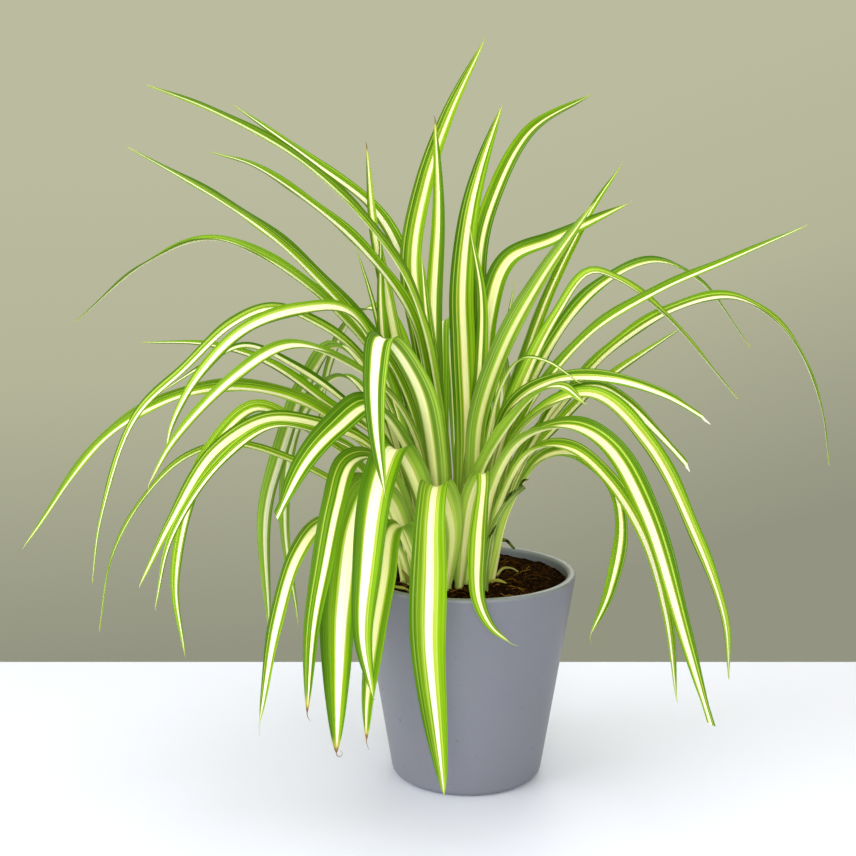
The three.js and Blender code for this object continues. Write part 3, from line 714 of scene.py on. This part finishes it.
def evenly(line, count):
    """count + 1 points at equal steps along a line, and the line's length."""
    steps = np.linalg.norm(np.diff(line, axis=0), axis=1)
    reach = np.concatenate([[0], np.cumsum(steps)])
    at = np.linspace(0, reach[-1], count + 1)
    return np.stack([np.interp(at, reach, line[:, k]) for k in range(3)], axis=1), reach[-1]


def unit(vectors):
    return vectors / np.linalg.norm(vectors, axis=-1, keepdims=True)


def directions(line):
    return unit(np.gradient(line, axis=0))


def leaf_line(row):
    """A leaf's line above the soil, and the level direction across it."""
    bearing, foot, _, _, route = row[:5]
    angle = math.radians(bearing)
    out = np.array([math.cos(angle), math.sin(angle), 0])
    side = np.array([-math.sin(angle), math.cos(angle), 0])

    def at(reach, height, sway=0):
        return np.array([*CLUMP, height]) + out * reach + side * sway

    reach, sway = foot if isinstance(foot, list) else (foot, 0)
    points = [at(reach, SOIL_TOP + FOOT_RISE, sway), *(at(*point) for point in route)]
    return curve_through(points), side


def tip_hair(line, length, curl):
    """The dry thread past a leaf's tip, which goes on from its end and curls."""
    tangent = unit(line[-1] - line[-2])
    aside = unit(np.cross(tangent, HAIR_ASIDE))
    points = []
    at = line[-1]
    for k in range(HAIR_STATIONS):
        turned = math.radians(curl) * (k + 0.5) / HAIR_STATIONS
        heading = tangent * math.cos(turned) + aside * math.sin(turned)
        at = at + heading * length / HAIR_STATIONS
        points.append(at)
    return np.array(points)


def blade_frames(line, side, roll):
    """Directions across the blade and up from its inner face, at each point of its line."""
    tangent = directions(line)
    flat = unit(side - tangent * (tangent @ side)[:, None])
    across = flat * np.cos(roll)[:, None] + np.cross(tangent, flat) * np.sin(roll)[:, None]
    return across, np.cross(tangent, across)


def blade_section(share, width, tip):
    """Half width, thickness and channel angle at each share of a leaf's length."""
    grown = np.sin(np.pi / 2 * np.minimum(1, share / FULL_AT))
    past = np.clip((share - WIDEST_AT) / (1 - WIDEST_AT), 0, 1)
    taper = np.cos(np.pi / 2 * past) ** TAPER_POWER
    foot = min(FOOT_WIDTH, width * FOOT_SHARE)
    half = np.maximum(tip, (foot + (width - foot) * grown) * taper) / 2
    thin = np.minimum(1, share / THICK_PART)
    thick = FOOT_THICKNESS + (BLADE_THICKNESS - FOOT_THICKNESS) * thin
    channel = FOOT_CHANNEL + (TIP_CHANNEL - FOOT_CHANNEL) * np.sqrt(np.clip(share, 0, 1))
    return half, thick, channel


def around_section():
    """Places round a blade's section: across from -1 to 1, and whether it is the lower side."""
    upper = np.linspace(-1, 1, UPPER_FACES + 1)
    lower = np.linspace(1, -1, LOWER_FACES + 1)
    across = np.concatenate([upper, lower, [-1]])
    under = np.concatenate([0 * upper, 0 * lower + 1, [0]])
    return across, under


def new_grid(name, columns, rows):
    """A flat grid of faces, with its map, ready to be shaped. Also each corner's column and row."""
    bpy.ops.mesh.primitive_grid_add(x_subdivisions=columns, y_subdivisions=rows, size=1, calc_uvs=True)
    piece = bpy.context.object
    piece.name = piece.data.name = name
    piece.data.uv_layers[0].name = "OFBake"
    flat = np.empty(len(piece.data.vertices) * 3)
    piece.data.vertices.foreach_get("co", flat)
    flat = flat.reshape(-1, 3)
    column = np.rint((flat[:, 0] + 0.5) * columns).astype(int)
    row = np.rint((flat[:, 1] + 0.5) * rows).astype(int)
    return piece, column, row


def set_shape(piece, places):
    """Moves every corner of a mesh to its place in millimetres."""
    piece.data.vertices.foreach_set("co", (places * MM).astype(np.float32).ravel())
    piece.data.update()


def set_value(piece, name, values):
    layer = piece.data.attributes.new(name, "FLOAT", "POINT")
    layer.data.foreach_set("value", np.broadcast_to(values, len(layer.data)).astype(np.float32))


def closed_skin(name, rings, start, end):
    """A skin of rings that draws together at both ends. Also each corner's column and row."""
    first, last = (np.broadcast_to(pole, (1, *rings.shape[1:])) for pole in (start, end))
    rings = np.concatenate([first, rings, last])
    piece, column, row = new_grid(name, rings.shape[1] - 1, len(rings) - 1)
    set_shape(piece, rings[row, column])
    return piece, column, row


def close_up(sharp_degrees):
    """Welds the active piece, turns every face outwards and smooths what isn't a true edge."""
    bpy.ops.object.mode_set(mode="EDIT")
    bpy.ops.mesh.select_all(action="SELECT")
    bpy.ops.mesh.remove_doubles(threshold=WELD)
    bpy.ops.mesh.normals_make_consistent(inside=False)
    bpy.ops.object.mode_set(mode="OBJECT")
    bpy.ops.object.shade_smooth_by_angle(angle=math.radians(sharp_degrees))


def hand_over(piece, finish, slot, *nodes):
    """Gives a finished piece its material and its place in the plant. The slot is not used."""
    piece.data.materials.clear()
    piece.data.materials.append(finish)
    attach(piece, "root")
    if nodes:
        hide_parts(*nodes)
    piece.select_set(False)


def make_blade(name, line, side, width, rolls, tip, look, chance):
    """One leaf as a closed strap, whose columns go round its section and rows along it."""
    hair_length, curl = look["hair"]
    body, length = evenly(line, STATIONS)
    foot = body[0] - (0, 0, look["buried"])
    buried = np.linspace(foot, body[0], FOOT_STATIONS, endpoint=False)
    hair = tip_hair(body, hair_length, curl) if hair_length else np.empty((0, 3))
    centre = np.vstack([buried, body, hair])
    share = np.concatenate([
        np.zeros(len(buried)),
        np.linspace(0, 1, len(body)),
        1 + hair_length / length * np.arange(1, len(hair) + 1) / max(1, len(hair)),
    ])
    over_soil = np.concatenate([np.zeros(len(buried)), share[len(buried):] * length])

    whole = np.clip(share, 0, 1)
    turn = rolls[0] + (rolls[1] - rolls[0]) * whole + TWIST * look["twist"] * whole**2
    across_way, up_way = blade_frames(centre, side, turn)
    half, thick, channel = blade_section(share, width, tip)
    folded, drawn_in = look["pinch"]
    half = half * (1 - drawn_in * np.exp(-(((share - folded) / PINCH_REACH) ** 2)))
    if len(hair):
        dwindle = np.linspace(1, HAIR_END, len(hair))
        half[-len(hair):] *= dwindle
        thick[-len(hair):] *= dwindle * TIP_WIDTH / BLADE_THICKNESS

    place, under = around_section()
    spread = np.abs(place)
    keel = np.sqrt(place**2 + KEEL_ROUND**2) - KEEL_ROUND
    keel /= math.sqrt(1 + KEEL_ROUND**2) - KEEL_ROUND
    lens = MARGIN_THICKNESS + (1 - MARGIN_THICKNESS) * (1 - spread**LENS_POWER)
    pleat = PLEAT_DEPTH * np.cos(place * PLEATS * 2 * math.pi) * (1 - spread**PLEAT_EDGE)
    wave, other_wave = (
        np.sin(over_soil / RIPPLE_LENGTH * turns + chance.uniform(0, 6))[:, None]
        for turns in RIPPLE_TURNS
    )
    ripple = np.where(place > 0, wave, other_wave) * spread**RIPPLE_EDGE
    fullness = (np.clip(half / FULL_HALF, 0, 1) * np.clip(share / FULL_SHARE, 0, 1))[:, None]

    lift = (half * np.sin(channel))[:, None] * keel
    lift = lift + (pleat + RIPPLE_DEPTH * look["ripple"] * ripple) * fullness
    lift = lift + (thick[:, None] * lens / 2) * np.where(under > 0.5, -1, 1)
    reach = (half * np.cos(channel))[:, None] * place
    rings = centre[:, None] + across_way[:, None] * reach[..., None]
    rings = rings + up_way[:, None] * lift[..., None]
    if tip > TIP_WIDTH:
        near_cut = np.clip((share - CUT_FROM) / (1 - CUT_FROM), 0, 1)[:, None]
        drawn_back = (half[:, None] * abs(look["slant"]) - reach * look["slant"]) * near_cut
        rings -= directions(centre)[:, None] * drawn_back[..., None]
    rings[:, -1] = rings[:, 0]

    piece, column, row = closed_skin(name, rings, centre[0], rings[-1].mean(axis=0))
    share, over_soil = np.pad(share, 1, "edge"), np.pad(over_soil, 1, "edge")
    set_value(piece, "across", place[column])
    set_value(piece, "under", under[column])
    set_value(piece, "share", share[row])
    set_value(piece, "along", over_soil[row] * MM)
    for key in PAINTED_LOOKS:
        set_value(piece, key, look[key])
    close_up(sharp_degrees=50)
    return piece


def make_leaves(finish):
    chance = random.Random(LEAF_SEED)
    for group, rows in LEAVES.items():
        stripes, shifts, cream = GROUP_LOOKS[group]
        for number, row in enumerate(rows, 1):
            key = f"{group}_{number}"
            look = dict(
                PLAIN_LOOK,
                stripe=chance.uniform(*stripes),
                shift=chance.uniform(*shifts),
                tone=chance.random(),
                cream=cream,
                dark_side=chance.choice((-1, 1)),
                slant=CUT_SLANT,
                buried=FOOT_DEPTH + FOOT_RISE,
                twist=chance.uniform(-1, 1),
                ripple=chance.uniform(0.4, 1),
                hair=(chance.uniform(1, 4), chance.uniform(5, 50)),
            )
            look.update(LOOKS.get(key, {}))
            line, side = leaf_line(row)
            _, _, width, roll, _, *cut = row
            rolls = np.radians(roll if isinstance(roll, list) else [roll, roll])
            if cut:
                look.update(hair=(0, 0), uncut=0)
            tip = cut[0] if cut else TIP_WIDTH
            blade = make_blade(f"blade_{key}", line, side, width, rolls, tip, look, chance)
            hand_over(blade, finish, "leaf", f"leaf_{key}")


def make_scales(scales, seed, buried, finish, slot):
    """Short dead scale leaves, curled and uneven."""
    chance = random.Random(seed)
    for name, (route, width, roll) in scales.items():
        line = curve_through(route)
        side = unit(np.cross([0, 0, 1], line[-1] - line[0]))
        look = dict(PLAIN_LOOK, tone=chance.random(), buried=buried, twist=chance.uniform(0, 3))
        rolls = np.radians([roll, roll])
        scale = make_blade(name, line, side, width, rolls, TIP_WIDTH, look, chance)
        hand_over(scale, finish, slot)


def outer_radius(height):
    return BASE_RADIUS + (RIM_RADIUS - BASE_RADIUS) * height / POT_HEIGHT


def inner_radius(height):
    return outer_radius(height) - WALL


def quarter(start, corner, end, steps):
    """Points on the rounded corner between start and end, without start itself."""
    points = []
    for k in range(steps):
        t = (k + 1) / steps
        weights = ((1 - t) ** 2, 2 * t * (1 - t), t * t)
        points.append(tuple(np.dot(weights, (start, corner, end))))
    return points


def pot_profile():
    """(radius, height) from the underside up the outside, over the lip and down to the floor."""
    lip_start = POT_HEIGHT - LIP_ROUND
    lip_top = (RIM_RADIUS - WALL / 2, POT_HEIGHT)
    inside_lip = (inner_radius(lip_start), lip_start)
    corner_top = FLOOR + FOOT_ROUND
    foot_top = (outer_radius(FOOT_ROUND), FOOT_ROUND)
    outside = [(BASE_RADIUS - FOOT_ROUND, 0.0)]
    outside += quarter(outside[-1], (BASE_RADIUS, 0), foot_top, ROUND_STEPS)
    heights = np.linspace(FOOT_ROUND, lip_start, OUTSIDE_STEPS + 1)
    outside += [(outer_radius(z), z) for z in heights[1:]]
    outside += quarter(outside[-1], (RIM_RADIUS, POT_HEIGHT), lip_top, ROUND_STEPS)
    inside = quarter(lip_top, (RIM_RADIUS - WALL, POT_HEIGHT), inside_lip, ROUND_STEPS)
    heights = np.linspace(lip_start, corner_top, INSIDE_STEPS + 1)
    inside += [(inner_radius(z), z) for z in heights[1:]]
    end = (inner_radius(FLOOR) - FOOT_ROUND, FLOOR)
    inside += quarter(inside[-1], (inner_radius(FLOOR), FLOOR), end, FLOOR_ROUND_STEPS)
    return outside + inside


def make_pot(finish):
    """The underside's disc, drawn up ring by ring through the wall and the lip to the floor."""
    (radius, height), *rings = pot_profile()
    bpy.ops.mesh.primitive_circle_add(vertices=POT_SIDES, radius=radius * MM, fill_type="NGON")
    pot = bpy.context.object
    pot.name = pot.data.name = "pot_body"
    bpy.ops.object.mode_set(mode="EDIT")
    bpy.ops.mesh.select_all(action="SELECT")
    for next_radius, next_height in rings:
        rise = (0, 0, (next_height - height) * MM)
        scale = next_radius / radius
        bpy.ops.mesh.extrude_region_move(TRANSFORM_OT_translate={"value": rise})
        bpy.ops.transform.resize(value=(scale, scale, 1))
        radius, height = next_radius, next_height
    bpy.ops.object.mode_set(mode="OBJECT")
    close_up(sharp_degrees=40)
    hand_over(pot, finish, "pot", "pot")


def soil_height(x, y):
    """The soil's uneven top in millimetres: broad swells, clods and grit."""
    swell, clods, grit = (
        noise.noise(Vector((x / length, y / length, seed))) * height
        for length, seed, height in (SWELLS, CLODS, GRIT)
    )
    return SOIL_TOP - SOIL_DIP + swell + abs(clods) + grit


def make_soil(finish):
    """Soil that fills the pot: floor, side and an uneven top, turned from a grid and welded."""
    edge = inner_radius(SOIL_TOP) - SOIL_ROOM
    shoulder = inner_radius(FLOOR + FOOT_ROUND) - SOIL_ROOM
    low_edge = inner_radius(FLOOR) - FOOT_ROUND
    profile = [(0, SOIL_LOWEST), (low_edge, SOIL_LOWEST), (shoulder, SOIL_SHOULDER)]
    side_rows = len(profile)
    profile += [(edge * (1 - k / SOIL_RINGS), None) for k in range(SOIL_RINGS + 1)]
    piece, column, row = new_grid("soil_body", SOIL_SIDES, len(profile) - 1)
    places = []
    for c, r in zip(column, row):
        radius, height = profile[r]
        angle = 2 * math.pi * (c % SOIL_SIDES) / SOIL_SIDES
        x, y = radius * math.cos(angle), radius * math.sin(angle)
        places.append((x, y, soil_height(x, y) if r >= side_rows else height))
    set_shape(piece, np.array(places))
    close_up(sharp_degrees=180)
    hand_over(piece, finish, "soil", "soil")


def joined_copies(name, shape, faces, copies):
    """One mesh of many copies, each a (corners, tone) pair that shares the faces of one shape."""
    mesh = bpy.data.meshes.new(name)
    corners = np.concatenate([places for places, _ in copies]) * MM
    starts = [k * shape for k in range(len(copies))]
    all_faces = [[start + corner for corner in face] for start in starts for face in faces]
    mesh.from_pydata(corners.tolist(), [], all_faces)
    piece = bpy.data.objects.new(name, mesh)
    bpy.context.collection.objects.link(piece)
    bpy.context.view_layer.objects.active = piece
    piece.select_set(True)
    set_value(piece, "tone", np.repeat([tone for _, tone in copies], shape))
    return piece


def make_fibres(finish):
    """Loose coir fibres that lie in low arcs on the soil."""
    chance = random.Random(FIBRE_SEED)
    room = inner_radius(SOIL_TOP) - LITTER_ROOM
    rings = np.arange((FIBRE_STEPS + 1) * FIBRE_SIDES).reshape(-1, FIBRE_SIDES)
    turned = np.roll(rings, -1, axis=1)
    quads = np.stack([rings[:-1], turned[:-1], turned[1:], rings[1:]], axis=-1)
    faces = [*quads.reshape(-1, 4).tolist(), rings[0, ::-1].tolist(), rings[-1].tolist()]
    copies = []
    while len(copies) < FIBRES:
        x, y = chance.uniform(-room, room), chance.uniform(-room, room)
        heading, turn = chance.uniform(0, 2 * math.pi), chance.gauss(0, FIBRE_BEND)
        length = chance.uniform(*FIBRE_LENGTH)
        radius = chance.uniform(*FIBRE_RADIUS)
        arch = chance.uniform(*FIBRE_ARCH)
        line = []
        for k in range(FIBRE_STEPS + 1):
            rise = radius + arch * math.sin(math.pi * k / FIBRE_STEPS)
            line.append((x, y, soil_height(x, y) + rise))
            x += math.cos(heading) * length / FIBRE_STEPS
            y += math.sin(heading) * length / FIBRE_STEPS
            heading += turn
        if max(math.hypot(px, py) for px, py, _ in line) > room:
            continue
        line = np.array(line)
        side = np.cross(directions(line), [0, 0, 1])
        up = np.cross(side, directions(line))
        thin = radius * np.sin(np.linspace(0.5, math.pi - 0.5, FIBRE_STEPS + 1))
        corners = [
            line + (side * math.cos(angle) + up * math.sin(angle)) * thin[:, None]
            for angle in np.linspace(0, 2 * math.pi, FIBRE_SIDES, endpoint=False)
        ]
        copies.append((np.stack(corners, axis=1).reshape(-1, 3), chance.random()))
    piece = joined_copies("coir_fibres", rings.size, faces, copies)
    close_up(sharp_degrees=60)
    hand_over(piece, finish, "soil")


def make_crumbs(finish):
    """Small broken clods that lie half sunk in the soil, from one shape knocked about anew."""
    chance = random.Random(CRUMB_SEED)
    bpy.ops.mesh.primitive_ico_sphere_add(subdivisions=1, radius=1)
    pattern = bpy.context.object
    ball = np.array([v.co for v in pattern.data.vertices])
    faces = [list(face.vertices) for face in pattern.data.polygons]
    bpy.data.objects.remove(pattern)
    room = inner_radius(SOIL_TOP) - LITTER_ROOM
    copies = []
    while len(copies) < CRUMBS:
        x, y = chance.uniform(-room, room), chance.uniform(-room, room)
        if math.hypot(x, y) > room:
            continue
        size = chance.uniform(*CRUMB_SIZE)
        stretch = np.array([chance.uniform(*CRUMB_STRETCH) for _ in range(3)])
        knocks = np.array([chance.uniform(*CRUMB_KNOCK) for _ in ball])[:, None]
        turn = chance.uniform(0, 2 * math.pi)
        sine, cosine = math.sin(turn), math.cos(turn)
        spin = np.array([[cosine, sine, 0], [-sine, cosine, 0], [0, 0, CRUMB_FLATNESS]])
        middle = (x, y, soil_height(x, y) + size * CRUMB_LIFT)
        places = (ball * knocks * stretch * size) @ spin + middle
        copies.append((places, chance.uniform(*CRUMB_TONE)))
    piece = joined_copies("coir_crumbs", len(ball), faces, copies)
    close_up(sharp_degrees=25)
    hand_over(piece, finish, "soil")


def make_stem(name, finish, *nodes):
    """A closed ribbed stem along its route, with its map running round and along it."""
    route, radii, (rings, sides), ribs = STEMS[name]
    line, _ = evenly(curve_through(route), rings)
    tangent = directions(line)
    side = unit(np.cross(tangent, [0, 1, 0]))
    up = np.cross(side, tangent)
    radius = np.interp(np.linspace(0, 1, rings + 1), *zip(*radii))
    angle = 2 * math.pi * np.arange(sides + 1) / sides
    ribbed = radius[:, None] * (1 + RIB_DEPTH * np.cos(angle * ribs))
    walls = line[:, None] + side[:, None] * (ribbed * np.cos(angle))[..., None]
    walls = walls + up[:, None] * (ribbed * np.sin(angle))[..., None]
    stem, column, _ = closed_skin(name, walls, line[0], line[-1])
    set_value(stem, "around", column / sides)
    close_up(sharp_degrees=50)
    hand_over(stem, finish, "stalk", *nodes)


def make_camera():
    """The photograph's view, from a little above the pot's lip."""
    camera = bpy.data.objects.new("camera", bpy.data.cameras.new("camera"))
    camera.location = CAMERA_PLACE
    camera.rotation_euler = (math.pi / 2 - CAMERA_DROP, 0, 0)
    camera.data.lens = FOCAL_LENGTH * SENSOR_WIDTH / PICTURE_WIDTH
    camera.data.sensor_width = SENSOR_WIDTH
    camera.data.clip_start = 0.01
    bpy.context.collection.objects.link(camera)
    bpy.context.scene.camera = camera


def make_floor():
    """A pale table top that ends a little behind the plant."""
    floor = Finish("table_top", Roughness=0.55)
    cloud = floor.noise(floor.place(), 3.0)
    bpy.ops.mesh.primitive_plane_add(size=1)
    table = bpy.context.object
    table.name = "table"
    middle = Matrix.Translation((0, TABLE_BACK - TABLE_DEPTH / 2, 0))
    table.data.transform(middle @ Matrix.Diagonal((TABLE_WIDTH, TABLE_DEPTH, 1, 1)))
    colour = floor.mix(cloud, rgb(222, 224, 243), rgb(227, 229, 246))
    table.data.materials.append(floor.wire(Base_Color=colour))


def make_lights():
    for name, (place, size, watts) in LAMPS.items():
        lamp = bpy.data.objects.new(name, bpy.data.lights.new(name, "AREA"))
        lamp.data.shape = "DISK"
        lamp.data.size = size
        lamp.data.energy = watts
        lamp.location = place
        aim = Vector(LAMPS_AIM) - Vector(place)
        lamp.rotation_euler = aim.to_track_quat("-Z", "Y").to_euler()
        lamp.visible_camera = False
        bpy.context.collection.objects.link(lamp)
    bpy.context.scene.world = wall_world()


def wall_world():
    """A plain sage wall all round, which grows darker towards the table and to the right."""
    wall = Nodes(bpy.data.worlds.new("wall"))
    heading = wall.node("ShaderNodeTexCoord", {}, {}, "Generated")
    climb = wall.part(heading, "Z") + WALL_FADE
    rightward = wall.part(heading, "X").math("MAXIMUM", 0)
    stops = {0.0: (147, 148, 130), 0.2: (181, 181, 154), 0.36: (187, 187, 160)}
    colour = wall.ramp(climb - rightward * WALL_SHADE, stops)
    return wall.wire("Background", Color=colour)


make_camera()
make_floor()
make_lights()
make_pot(pot_finish())
make_soil(soil_finish())
fibres = fibre_finish()
make_fibres(fibres)
make_crumbs(fibres)
make_stem("cut_stalk", stalk_finish(), "flower_stalk")
twigs = twig_finish()
make_scales(BRACTS, BRACT_SEED, BRACT_DEPTH, twigs, "stalk")
make_stem("dead_stub", twigs)
make_scales(SCRAPS, SCRAP_SEED, FOOT_DEPTH, straw_finish(), "leaf")
make_leaves(leaf_finish())
bpy.context.scene.view_settings.view_transform = "Standard"
